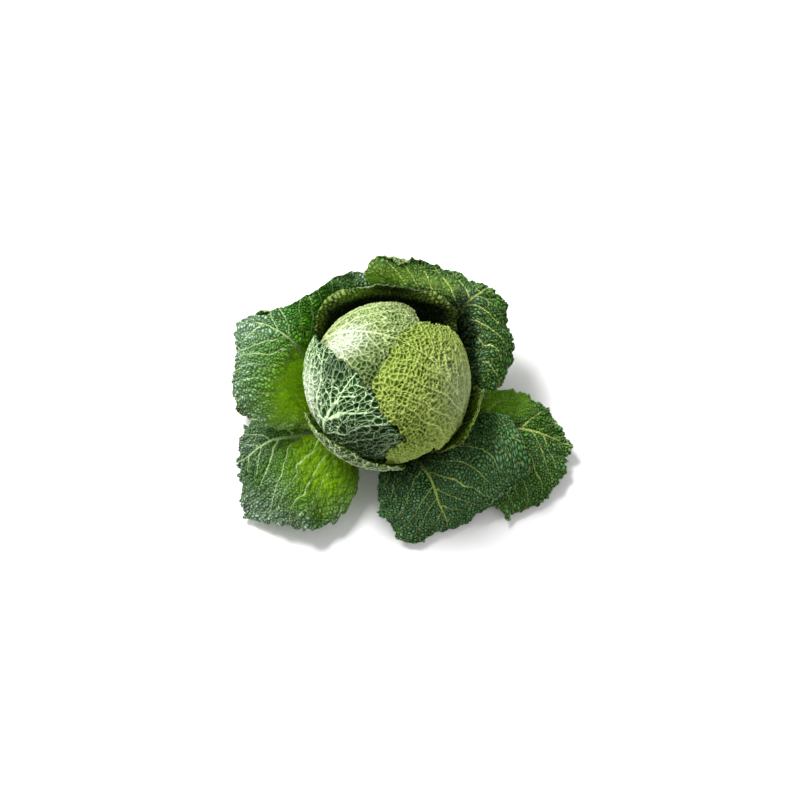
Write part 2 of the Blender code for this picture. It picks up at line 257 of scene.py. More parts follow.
def mesh_of(name, points, faces, values=None):
    """A smooth mesh from points in mm and quads; a quad that names one point twice is kept as a triangle."""
    mesh = bpy.data.meshes.new(name)
    points, faces = np.asarray(points).reshape(-1, 3)*MM, np.asarray(faces)
    three = faces[:, 3] == faces[:, 2]
    loops = np.concatenate([faces[~three].ravel(), faces[three][:, :3].ravel()])
    sizes = np.concatenate([np.full((~three).sum(), 4), np.full(three.sum(), 3)])
    mesh.vertices.add(len(points))
    mesh.vertices.foreach_set("co", points.astype(np.float32).ravel())
    mesh.loops.add(len(loops))
    mesh.loops.foreach_set("vertex_index", loops.astype(np.int32))
    mesh.polygons.add(len(sizes))
    mesh.polygons.foreach_set("loop_start", np.concatenate([[0], np.cumsum(sizes)[:-1]]).astype(np.int32))
    mesh.update(calc_edges=True)
    mesh.polygons.foreach_set("use_smooth", np.ones(len(sizes), bool))
    for key, value in (values or {}).items():
        value = np.asarray(value, np.float32)
        kind, part = ("FLOAT_VECTOR", "vector") if value.shape[-1] == 3 and value.ndim > 1 else ("FLOAT", "value")
        mesh.attributes.new(key, kind, "POINT").data.foreach_set(part, value.ravel())
    mesh.validate()
    return mesh


def grid_quads(rows, columns, start=0):
    """The quads of a grid of points, rows by columns, facing the way of rows cross columns."""
    number = start + np.arange(rows*columns).reshape(rows, columns)
    return np.stack([number[:-1, :-1], number[1:, :-1], number[1:, 1:], number[:-1, 1:]], -1).reshape(-1, 4)


def closed_blade(name, face, back, values):
    """A blade closed all round: the grid of its face, the grid of its back turned over, and a rim between them."""
    rows, columns = face.shape[:2]
    number = np.arange(rows*columns).reshape(rows, columns)
    rim = np.concatenate([number[:-1, 0], number[-1, :-1], number[:0:-1, -1], number[0, :0:-1]])
    after, under = np.roll(rim, -1), rows*columns
    quads = np.concatenate([grid_quads(rows, columns), grid_quads(rows, columns, under)[:, ::-1],
                            np.stack([after, rim, rim + under, after + under], -1)])
    return mesh_of(name, np.concatenate([face.reshape(-1, 3), back.reshape(-1, 3)]), quads, values)


def closed_round(name, rings, values=None):
    """A body closed all round from rings of points stacked upwards, each ring turning left seen from above; its first
    and last rings are drawn together to one point."""
    count, around = rings.shape[:2]
    number = np.arange(count*around).reshape(count, around)
    number[0, :], number[-1, :] = 0, (count - 1)*around
    on = np.roll(number, -1, axis=1)
    quads = np.stack([number[:-1], on[:-1], on[1:], number[1:]], -1).reshape(-1, 4)
    first = quads[:, 0] == quads[:, 1]
    quads[first] = quads[first][:, [0, 2, 3, 3]]
    used, packed = np.unique(quads, return_inverse=True)
    values = {key: np.reshape(value, (count*around, -1))[used] for key, value in (values or {}).items()}
    return mesh_of(name, rings.reshape(-1, 3)[used], packed.reshape(-1, 4), values)


def place(name, mesh, node, material):
    """Puts a finished piece in the scene in place of its CAD node."""
    thing = bpy.data.objects.new(name, mesh)
    bpy.context.scene.collection.objects.link(thing)
    mesh.materials.append(material)
    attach(thing, "root")
    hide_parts(node)


# ---- the shape of a leaf ----

# What a leaf has unless its own measurements say otherwise.  A pair is for the left and the right half; a longer row
# runs from base to tip.
PLAIN_LEAF = dict(
    # how far a half turns up on its way out, degrees: evenly, and as the cube of the way
    cup=0, curl=0,
    # radius, spread and drop of a leaf that stands round the head like a bowl's side
    bowl=None,
    # how far the sides lie forward, and the tip's corners back, as shares of the length
    sweep=0.10, tip=0.16,
    # height of the slow waves of the edge, mm, and where they start, radians
    wave=3.0, phase=0.0,
    # whether the leaf lies on the head's ball
    head=False,
    # how far the halves lie to the left of the midrib's line, from base to tip, mm
    shift=(0, 0),
    # how far a head leaf sinks from base to tip, in the middle and at the left and right edges, mm, and the power of
    # the way out by which the edges' share comes in
    settle=((0, 0),)*3, sharp=1,
    # width of the small cells over the setting's, and whether they stand in rows along the ribs
    cell=0.72, rows=False,
    # heights of the small and the large swellings over the settings'
    small=1.0, large=1.0,
    # how far the net and the midrib stand out of the back, over the usual
    raised=1.0, stem=1.0,
    # half widths of the midrib at its base and of a side rib, mm
    midrib_width=3.4, rib=0.7,
    # how far a side rib runs forward for each mm outwards
    lean=0.95,
    # how far off the head's ball, mm, and how far out on the leaf, as shares, its painted shade ends and it is clear
    shade=(-99, -98), deep=(-2, -1),
    # places with painted shadow, and places with light behind them, painted as a glow on the face and as glare on a
    # head leaf's back: x, y, z and radius, mm
    dark=(), lit=(),
    # places bare of bloom and its sheen, and places along a ridge where much bloom is laid as a painted highlight
    bare=(), ridge=(),
)


def leaf(azimuth, midrib, width, outline, **own):
    """The measurements of one leaf: the way it points, degrees; its midrib's distances from the axis and heights, mm;
    its half widths, mm; and how wide the halves are from base to tip, as shares of those."""
    return SimpleNamespace(azimuth=azimuth, midrib=midrib, width=width, outline=outline, **(PLAIN_LEAF | own))


def head_leaf(azimuth, radius, top, width, outline, **own):
    """A leaf lying on a ball round the head's centre, from beside the stump to top degrees round from its bottom."""
    turns = np.radians(np.linspace(degrees(asin(BASE_REACH/radius)), top, 9))
    line = [(radius*sin(t), HEAD_CENTRE[2] - radius*cos(t)) for t in turns]
    usual = dict(cup=tuple(degrees(w/radius) for w in width), wave=0, head=True, cell=1.0, large=0.5, stem=0.3,
                 midrib_width=2.2, rib=0.5, lean=1.3)
    return leaf(azimuth, line, width, outline, **(usual | own))


def wrapper(azimuth, radius, top, width, outline, **own):
    """A smoother head leaf that stands loose round the others."""
    return head_leaf(azimuth, radius, top, width, outline, **(dict(small=0.6, large=0.4, raised=0.7, rib=0.45) | own))


def midrib_line(shape, a):
    """Place, direction, leftward and upward directions at a share a of the midrib, and the midrib's length."""
    r, z = along(shape.midrib, np.linspace(0, 1, 201)).T
    az = radians(shape.azimuth)
    out, side = np.array([cos(az), sin(az), 0]), np.array([-sin(az), cos(az), 0])
    p = r[:, None]*out + z[:, None]*np.array([0, 0, 1.0])
    arc = np.concatenate([[0], np.cumsum(np.linalg.norm(np.diff(p, axis=0), axis=1))])
    tangent = unit(np.gradient(p, arc, axis=0))
    x = a*arc[-1]

    def at(q):
        return np.stack([np.interp(x, arc, q[:, k]) for k in range(3)], -1)

    beyond = (np.maximum(x - arc[-1], 0) + np.minimum(x, 0))[..., None]
    direction = unit(at(tangent))
    return at(p) + beyond*direction, direction, side, np.cross(direction, side), arc[-1]


def frill(t, seed, depth):
    """The small teeth along an edge, mm: rough waves a few mm long on slow ones some 25 mm long."""
    return depth*(1.3*drift(t/24, 0*t, seed) + 1.0*drift(t/6.5, 0*t + 3, seed) + 0.9*drift(t/3.1, 0*t + 7, seed))


def half_width(shape, u, v):
    """How wide the half of the leaf at v is at u, mm."""
    return either(v > 0, shape.width, u)*either(v > 0, shape.outline, u)


def flat_leaf(shape, u, v, depth):
    """Where a point lies on the leaf pressed flat, mm along and mm across: v times the half width at u, swept forward
    between base and tip, with frilled edges."""
    m = np.abs(v)
    length = midrib_line(shape, np.zeros(1))[4]
    width = half_width(shape, u, v)
    a = u + shape.sweep*4*u*(1-u)*m**1.5 - either(v > 0, shape.tip, u)*u**5*m**2
    b = v*width + along(shape.shift, u)
    seed = shape.azimuth
    b = b + np.sign(v)*m**9*frill(a*length, seed + np.sign(v), depth)*np.minimum(1, width/20)
    return a*length + u**14*frill(b, seed + 9, depth), b, length


def bend(shape, a, b):
    """The flat leaf bent: from the midrib out its direction turns by cup times the share of the half width reached,
    and by curl times that share cubed; the path is summed in steps."""
    steps = 24
    p, _, side, up, _ = midrib_line(shape, a)
    left, t, s = b > 0, np.clip(a, 0, 1), np.abs(b)
    cup, curl = np.radians(either(left, shape.cup, t)), np.radians(either(left, shape.curl, t))
    width = either(left, shape.width, t)
    x, y = np.zeros_like(s), np.zeros_like(s)
    for k in range(steps):
        q = (k + 0.5)/steps*s/width
        turn = cup*q + curl*q**3
        x, y = x + np.cos(turn)*s/steps, y + np.sin(turn)*s/steps
    return p + np.where(left, x, -x)[..., None]*side + y[..., None]*up


def bowl(shape, v, a, b):
    """The flat leaf stood round the head like the side of a bowl: its midrib's line is turned about the head's axis by
    the distance across over the bowl's radius, drawn in by spread and let down by drop, both given from the right edge
    to the left one; they come in over the lowest 60 mm."""
    p = midrib_line(shape, a)[0]
    radius, spread, drop = shape.bowl
    high = np.clip(p[..., 2]/60, 0, 1)
    r = np.hypot(p[..., 0], p[..., 1])*(1 + (along(spread, (v + 1)/2) - 1)*high)
    turn = radians(shape.azimuth) + b/radius
    return np.stack([r*np.cos(turn), r*np.sin(turn), p[..., 2] - along(drop, (v + 1)/2)*high**2], -1)


def normals(p):
    """The way a grid of points faces: its rows' direction cross its columns'."""
    return unit(np.cross(np.gradient(p, axis=0), np.gradient(p, axis=1)))


def smooth_leaf(shape, u, v, x, y, length):
    """The leaf before its crinkles: bent, its edge waved, and then laid on the head's ball or settled on the table,
    which lifts a height h to (h + sqrt(h**2 + softness**2))/2, all measured from the height where it rests."""
    p = bowl(shape, v, x/length, y) if shape.bowl else bend(shape, x/length, y)
    edge = np.maximum(np.abs(v), along((0, 0, 0, 0.1, 0.55, 1.0), u))
    turn = np.arctan2(v, (u - 0.45)*1.6)
    slow = shape.wave*edge**3*(0.6*np.sin(9*turn + shape.phase) + 0.4*np.sin(17.7*turn + 2.1*shape.phase))
    fine = (1.1 if shape.head else 3.0)*edge**5*rough(x/10, y/10, shape.azimuth + 5, 2)
    p = p + normals(p)*(slow + fine)[..., None]
    if shape.head:
        spoke = p - HEAD_CENTRE
        middle, left, right = (along(values, u) for values in shape.settle)
        sunk = middle + (np.where(v > 0, left, right) - middle)*np.abs(v)**shape.sharp
        return HEAD_CENTRE + spoke*(1 - sunk/np.linalg.norm(spoke, axis=-1))[..., None]*HEAD_STRETCH
    over = p[..., 2] - REST_HEIGHT
    p[..., 2] = REST_HEIGHT + 0.5*(over + np.sqrt(over**2 + REST_SOFTNESS**2))
    return p


def veins(shape, x, y, length, sizes):
    """Where the ribs and the net of a leaf lie.  across: mm from the midrib.  phase: a whole number on each side rib;
    side ribs leave the midrib by turns, lean forward and bend with slow waves.  broad and fine: the places of a large
    and a small net of cells on Voronoi's plane, the large one strung along the side ribs.  midrib_width and rib_width:
    half widths, mm."""
    seed, share = shape.azimuth, np.clip(x/length, 0, 1)
    y = y - along(shape.shift, share)
    x1, y1 = x + 3.4*rough(x/23, y/23, seed, 3), y + 3.4*rough(x/23 + 40, y/23, seed, 3)
    far, reach = np.abs(y1), np.where(y > 0, *shape.width)
    lean = np.where(y > 0, *np.broadcast_to(shape.lean, 2))
    square = 1/np.hypot(1, lean)
    root = (x1 - lean*far - 0.0016*far**2)*square
    phase = root/sizes.side_rib_gap + 0.5*(y > 0) + 0.25*drift(root/sizes.side_rib_gap*1.6, far/60, seed + 3)
    thin = np.clip(1 - 0.95*far/reach, 0, 1)
    rib_width = shape.rib*rise(root, 1.5, 9)*(0.18 + 0.82*thin**0.8)*rise(1.02 - share, 0, 0.25)
    wobble = 0.6*rough(x/7, y/7, seed + 11, 2)
    ahead = (lean*x1 + far)*square + 70*(y > 0) if shape.rows else y1/square
    fine = (root/1.2 + wobble, ahead - wobble) if shape.rows else (x1 + wobble, y1 - wobble)
    return dict(across=y + 1.8*drift(x/28, 0*x, seed + 8), phase=phase, rib_width=rib_width,
                midrib_width=shape.midrib_width*(1 - share)**0.8 + 0.35,
                broad=np.stack([root/sizes.large_cell, ahead/(1.6*sizes.large_cell), 0*x], -1),
                fine=np.stack([*fine, 0*x], -1)/(sizes.small_cell*shape.cell))


def crinkles(shape, vein, share, width, v, sizes):
    """How far a leaf's face and its back stand off the smooth leaf, mm, and a random number for each small cell.  The
    face rises by height*rise(distance to the wall) over every small cell and over every large one, and sinks along the
    ribs; the back follows it a blade's thickness below, with the midrib, side ribs and net standing out of it."""
    large, _ = cells(vein["broad"][..., 0], vein["broad"][..., 1])
    small, tag = cells(vein["fine"][..., 0], vein["fine"][..., 1])
    large, small = large*sizes.large_cell, small*sizes.small_cell*shape.cell
    midrib = 1 - rise(np.abs(vein["across"]), 0.4*vein["midrib_width"], vein["midrib_width"] + 0.6)
    off = np.abs(np.sin(pi*vein["phase"]))*sizes.side_rib_gap/pi
    side_rib = (1 - rise(off, 0.4*vein["rib_width"], 1.4*vein["rib_width"] + 0.7))*rise(vein["rib_width"], 0.05, 0.5)
    ribs = np.maximum(midrib, side_rib)
    room, edge = rise(width, 6, 26), 1 - 0.5*rise(np.abs(v), 0.93, 1.0)
    swell = (sizes.small_swell*shape.small*rise(small, 0, 1.7*min(shape.cell, 1.0))**0.8*(0.5 + tag)
             + sizes.large_swell*shape.large*rise(large, 0, 3.1))
    swell = swell*(1 - 0.9*ribs)*room
    blade = (sizes.head_blade if shape.head else sizes.blade)*(0.6 + 0.4*edge)
    stem = shape.stem*sizes.midrib*(1 - 0.9*share**0.6)*midrib**0.8
    net = 0.45*(1 - rise(large, 0.1, 0.85)) + 0.25*(1 - rise(small, 0.1, 0.85))
    raised = shape.raised*(0.9*side_rib + net*(1 - ribs))*edge
    return swell - 0.5*midrib*room, swell - blade - stem - raised, tag


def spots(p, places, power):
    """How near each point lies to some places given as x, y, z and radius, mm: 1 at one of them, 0.37 at its radius,
    and soon 0 beyond it: exp(-(distance/radius)**power)."""
    near = [np.exp(-(np.linalg.norm(p - place[:3], axis=-1)/place[3])**power) for place in places]
    return np.minimum(sum(near, np.zeros(p.shape[:-1])), 1)


def tints(shape, p, share, v):
    """Where a leaf's colour changes.  outward: 0 at its base and 1 at its edge.  shade: 1 where shade is painted, close
    to the head, deep in the leaf or at a place of painted shadow.  lit: 1 with light behind it, where a glow is
    painted, and glare on a head leaf.  The bloom share: 1, less where the leaf is bare and more along a ridge, where a
    highlight is painted."""
    outward = np.maximum(share, np.abs(v)*0.9)
    off_head = np.linalg.norm((p - HEAD_CENTRE)/HEAD_STRETCH, axis=-1) - HEAD_RADIUS
    shade = np.maximum(1 - rise(off_head, *shape.shade), 1 - rise(outward, *shape.deep))
    return dict(outward=outward, shade=np.maximum(shade, spots(p, shape.dark, 4)), lit=spots(p, shape.lit, 2),
                frost=1 - spots(p, shape.bare, 4) + 3*spots(p, shape.ridge, 2))


def crinkled_leaf(name, shape, material, step, sizes):
    """A leaf piece: a grid of points step mm apart for its face and another for its back, closed round the edge."""
    length = midrib_line(shape, np.zeros(1))[4]
    rows, columns = int(length/step), int(sum(shape.width)*np.max(shape.outline)/step)
    u, v = np.meshgrid(np.linspace(0, 1, rows + 1), np.linspace(-1, 1, columns + 1), indexing="ij")
    x, y, length = flat_leaf(shape, u, v, sizes.frill*(0.6 if shape.head else 1.0))
    p, share = smooth_leaf(shape, u, v, x, y, length), np.clip(x/length, 0, 1)
    vein = veins(shape, x, y, length, sizes)
    above, below, tag = crinkles(shape, vein, share, half_width(shape, u, v), v, sizes)
    n = normals(p)
    face, back = p + n*above[..., None], p + n*below[..., None]
    if not shape.head:
        face[..., 2], back[..., 2] = np.maximum(face[..., 2], FACE_FLOOR), np.maximum(back[..., 2], BACK_FLOOR)
    marks = vein | tints(shape, p, share, v) | dict(cell=tag)
    values = {key: np.concatenate([value.reshape(u.size, -1)]*2) for key, value in marks.items()}
    values["back"] = np.repeat([0.0, 1.0], u.size)
    place("leaf_" + name, closed_blade("leaf_" + name, face, back, values), name, material)


# ---- materials ----

def add_node(tree, kind, settings=None, sockets=None):
    """Adds a node: its settings first, then the values or links of its sockets, by name or number."""
    node = tree.nodes.new("ShaderNode" + kind)
    for key, value in (settings or {}).items():
        setattr(node, key, value)
    for key, value in (sockets or {}).items():
        slot = node.inputs[key]
        value = value.socket if isinstance(value, Amount) else value
        if isinstance(value, bpy.types.NodeSocket):
            tree.links.new(value, slot)
        else:
            slot.default_value = (*value, 1.0) if np.ndim(value) == 1 and len(slot.default_value) == 4 else value
    return node


class Amount:
    """A number in a material, so that shader sums are written as Python sums."""

    def __init__(self, tree, socket):
        self.tree, self.socket = tree, socket

    def work(self, operation, *values):
        """Adds one Math node, with this number first."""
        node = add_node(self.tree, "Math", {"operation": operation}, dict(enumerate((self, *values))))
        return Amount(self.tree, node.outputs[0])

    def __add__(self, other):
        return self.work("ADD", other)

    def __sub__(self, other):
        return self.work("SUBTRACT", other)

    def __rsub__(self, other):
        return (self*-1.0).work("ADD", other)

    def __mul__(self, other):
        return self.work("MULTIPLY", other)

    def __pow__(self, other):
        return self.work("POWER", other)

    def __abs__(self):
        return self.work("ABSOLUTE")

    __radd__, __rmul__ = __add__, __mul__

    def step(self, low, high):
        """0 below low, 1 above high, and a smooth step between them."""
        node = add_node(self.tree, "MapRange", {"interpolation_type": "SMOOTHSTEP"},
                        dict(enumerate((self, low, high, 0.0, 1.0))))
        return Amount(self.tree, node.outputs[0])


class Finish:
    """A material and its nodes."""

    def __init__(self, name):
        self.material = bpy.data.materials.new(name)
        self.material.use_nodes = True
        self.tree = self.material.node_tree
        self.tree.nodes.clear()

    def node(self, kind, settings=None, sockets=None):
        """Adds a node to this material."""
        return add_node(self.tree, kind, settings, sockets)

    def attribute(self, name):
        """One of the numbers that a piece's mesh carries."""
        return Amount(self.tree, self.node("Attribute", {"attribute_name": name}).outputs["Fac"])

    def walls(self, name):
        """How far each place of a net lies from the nearest wall between its cells, one cell being about one wide."""
        where = self.node("Attribute", {"attribute_name": name}).outputs["Vector"]
        net = self.node("TexVoronoi", {"voronoi_dimensions": "2D", "feature": "DISTANCE_TO_EDGE"},
                        {"Vector": where, "Scale": 1.0, "Randomness": RANDOMNESS})
        return Amount(self.tree, net.outputs["Distance"])

    def noise(self, scale, detail=2.0, roughness=0.5):
        """Random waves from 0 to 1 on the piece, scale to the metre."""
        where = self.node("TexCoord").outputs["Object"]
        wave = self.node("TexNoise", None, {"Vector": where, "Scale": scale, "Detail": detail, "Roughness": roughness})
        return Amount(self.tree, wave.outputs["Fac"])

    def blend(self, first, second, share):
        """From the first colour to the second."""
        mix = self.node("Mix", {"data_type": "RGBA", "clamp_factor": True}, {0: share, 6: first, 7: second})
        return mix.outputs[2]

    def surface(self, base, roughness, height, lift, specular=0.5, through=None, share=0.0):
        """The shader: a skin with fine bumps of height times lift mm, and a share of light that shines through it in
        the colour through."""
        normal = self.node("Bump", None, {"Height": height, "Distance": lift*MM, "Strength": 1.0}).outputs[0]
        out = self.node("BsdfPrincipled", None, {"Base Color": base, "Roughness": roughness, "Normal": normal,
                                                 "Specular IOR Level": specular}).outputs[0]
        if through:
            glow = self.node("BsdfTranslucent", None, {"Color": through})
            out = self.node("MixShader", None, {0: share, 1: out, 2: glow.outputs[0]}).outputs[0]
        self.node("OutputMaterial", None, {"Surface": out})
        return self.material


def face_colours(c, **own):
    """The colours of a leaf's face: where it is sheltered and exposed, the glow painted where it is lit, the painted
    shade of its grooves and shaded places, its bloom with a painted sheen on the swellings' tops, and its veins.
    """
    usual = dict(sheltered=c.young, exposed=c.green, lit=c.glowing, groove=c.groove, bloom=c.bloom, vein=c.vein)
    return SimpleNamespace(**(usual | own))


def back_colours(c, **own):
    """The colours of a leaf's back: its cells, the darker green painted as shade in their deepest middles and where the
    leaf is shaded, its bloom, its raised net and the painted glare on it.  Unless others are given it is yellow-green."""
    usual = dict(cell=c.yellow_cell, deep=rgb(42, 68, 10), bloom=rgb(160, 176, 96), net=c.yellow_vein, glare=c.glare)
    return SimpleNamespace(**(usual | own))


def leaf_marks(f, cell, sizes):
    """What a leaf's colours are mixed from: the shares that its mesh carries; its ribs, where the mesh has them; how
    far off the walls of its nets are, mm; its swellings, 0 in a groove and 1 on top; and random waves."""
    m = SimpleNamespace(**{key: f.attribute(key) for key in ("outward", "back", "cell", "lit", "shade", "frost")})
    m.small, m.large = f.walls("fine")*(sizes.small_cell*cell), f.walls("broad")*sizes.large_cell
    midrib_width, rib_width = f.attribute("midrib_width"), f.attribute("rib_width")
    off = abs((f.attribute("phase")*pi).work("SINE"))*(sizes.side_rib_gap/pi)
    side_rib = (1 - off.step(rib_width*0.5, rib_width + 0.35))*rib_width.step(0.05, 0.4)
    midrib = 1 - abs(f.attribute("across")).step(midrib_width*0.5, midrib_width)
    m.ribs = midrib.work("MAXIMUM", side_rib)
    m.patch, m.fleck, m.grain = f.noise(24, 3.0), f.noise(300, 3.0, 0.65), f.noise(900, 2.0)
    m.dome, m.broad = m.small.step(0.0, 1.65*min(cell, 1.1)), m.large.step(0.0, 2.2)
    return m


def leaf_finish(name, cell, sizes, face, back, outward=(0.2, 0.75), haze=(0.4, 0.95), bloom_share=0.5, glow_share=0.1,
                net_share=0.85, groove_share=1.0, painted_glare=0.0, specular=0.2, lift=1.0):
    """A leaf of two sides, its small cells cell times as wide as the setting.  The face's sheltered colour turns to the
    exposed one over outward, with painted shade in the grooves between the swellings, with a waxy bloom and painted
    highlight on their tops that come in over haze, and pale ribs.  The back has a pale net over its cells, which are
    painted darker in their middles as shade, with painted glare where it is lit.  Both sides take painted shade where
    the leaf is shaded.  The shares say how strongly each shows; lift is the height of the finest bumps, mm."""
    f = Finish(name)
    m = leaf_marks(f, cell, sizes)
    c = f.blend(face.sheltered, face.exposed, (m.outward + m.patch*0.5 - 0.25).step(*outward))
    c = f.blend(c, face.lit, m.lit)
    c = f.blend(c, face.exposed, m.cell*0.35 + m.fleck*0.3 - 0.15)
    # painted shade in the grooves between the swellings, weaker where light shines through
    depth = (1 - m.dome)*0.95 + (1 - m.broad)*0.3
    c = f.blend(c, face.groove, depth*(groove_share - m.lit*0.55*groove_share))
    # waxy bloom and painted highlight: the bloom colour mostly on the tops of the swellings
    wax_and_sheen = m.frost*m.outward.step(*haze)*m.patch.step(0.25, 0.6)*((m.dome*m.broad)**1.5*(m.fleck + 0.3) + 0.1)
    c = f.blend(c, face.bloom, wax_and_sheen*bloom_share)
    c = f.blend(c, face.vein, (1 - m.large.step(0.08, 0.4))*m.outward*0.45)
    c = f.blend(c, face.vein, m.ribs*(m.outward.step(0.0, 0.6)*0.5 + 0.5)*0.9)
    # painted shade where the leaf is shaded: close to the head, deep in it, or at a place of painted shadow
    c = f.blend(c, face.groove, m.shade*0.9)
    # painted shade: each cell darker towards its deepest middle, with a random tone for each cell
    b = f.blend(back.cell, back.deep, m.dome*(0.3 + m.cell*0.7) + m.fleck*0.2 - 0.1)
    b = f.blend(b, back.bloom, m.patch.step(0.38, 0.7)*bloom_share*(0.5 + m.fleck))
    net = (1 - m.small.step(0.1, 0.5))*0.55
    net = net.work("MAXIMUM", (1 - m.large.step(0.16, 0.48))*0.9).work("MAXIMUM", m.ribs)
    b = f.blend(b, back.net, net*(net_share - 0.15 + m.patch*0.3))
    # painted glare: near white over the net and cells where light glances off the head
    b = f.blend(b, back.glare, m.lit*(m.fleck*0.5 + net*0.3 + 0.4)*painted_glare)
    # painted shade on the back where the leaf is shaded
    b = f.blend(b, back.deep, m.shade*0.65)
    height = (m.dome*0.7 + m.broad*0.3)*(1 - m.back*2) + m.fleck*0.35 + m.grain*0.15
    skin = m.fleck*0.16 + 0.34 + wax_and_sheen*0.08
    clear = 1 - (1 - m.dome)*(1 - m.lit)*0.6
    glow = (1 - m.ribs*0.5)*(m.lit*0.25 + glow_share)*(1 - m.shade)*clear
    return f.surface(f.blend(c, b, m.back), skin, height, lift, specular, rgb(196, 240, 90), glow)


# ---- the leaves' measurements ----

BROAD = (0.30, 0.75, 1.0, 1.0, 0.9, 0.72, 0.45)
SQUARE = (0.30, 0.75, 1.0, 1.0, 1.0, 0.95, 0.80)

HEAD_LEAVES = {
    "head_back": head_leaf(
        158, 69.0, 212, (88, 84), (BROAD, (0.30, 0.75, 1.0, 1.0, 1.0, 0.97, 0.75)),
        shift=(0, 0, -4, -10, -16, -20), cell=1.05,
        settle=((0, -2, -4, -4, -3, -1, 0), (0, -1, -1, -1, 0, 0, 0), (0, -4, -8, -8, -8, -6, -4)),
        dark=[(-4, -20, 150, 26)], lit=[(-35, 21, 150, 17), (-50, 12, 140, 13)]),
    "head_left": head_leaf(
        220, 73.9, 154, (84, 84), SQUARE,
        tip=0.12, cell=1.6, midrib_width=3.0, rib=0.9, stem=0.5,
        settle=((0, 0, -2, -3, -3.5), (0, 0, 0, -1, -3), (0, -3, -8, -9, -8)),
        dark=[(-20, -72, 112, 26), (-44, -12, 146, 18)], lit=[(-72, -14, 112, 17), (-74, -26, 95, 15)]),
    "head_front": head_leaf(
        305, 78.7, 124, (60, 48), (0.30, 0.75, 1.0, 1.0, 1.0, 0.9, 0.7)),
    "head_right": head_leaf(
        327, 83.5, 177, (75, 72), ((0.30, 0.70, 1.0, 1.0, 0.92, 0.76, 0.50), (0.25, 0.30, 0.34, 0.60, 0.93, 1.0, 0.85)),
        shift=(0, 0, 4, 12, 19, 17), tip=0.04, sweep=0.02, lean=(1.0, 2.6), rows=True, small=1.3,
        midrib_width=3.4, rib=0.8, stem=0.6,
        settle=((0, 0, 0, 0, 1, 3, 6), (0, 0, 0, 0, 0, 1, 2), (0, 0, 0, 0, 0, 1, 4)),
        lit=[(72, -20, 118, 30)]),
}

WRAPPERS = {
    "wrapper_front": wrapper(
        236, 85.0, 99, (62, 54), (0.30, 0.75, 1.0, 1.0, 1.0, 0.92, 0.7),
        cell=1.7, rib=0.8),
    "wrapper_right": wrapper(
        338, 88.0, 96, (36, 32), SQUARE,
        settle=((0, 0, 0, -2, -5, -10),)*3),
    "wrapper_back": wrapper(
        88, 90.2, 117, (80, 70), (0.18, 0.7, 1.0, 1.0, 0.95, 0.85, 0.6),
        settle=((0, 0, 0, 0, 0, 0, -3), (0, 0, -2, -5, -9, -12), (0, 0, -6, -12, -12, -12)), sharp=4,
        deep=(0.72, 0.84), dark=[(8, 88, 128, 26)]),
}

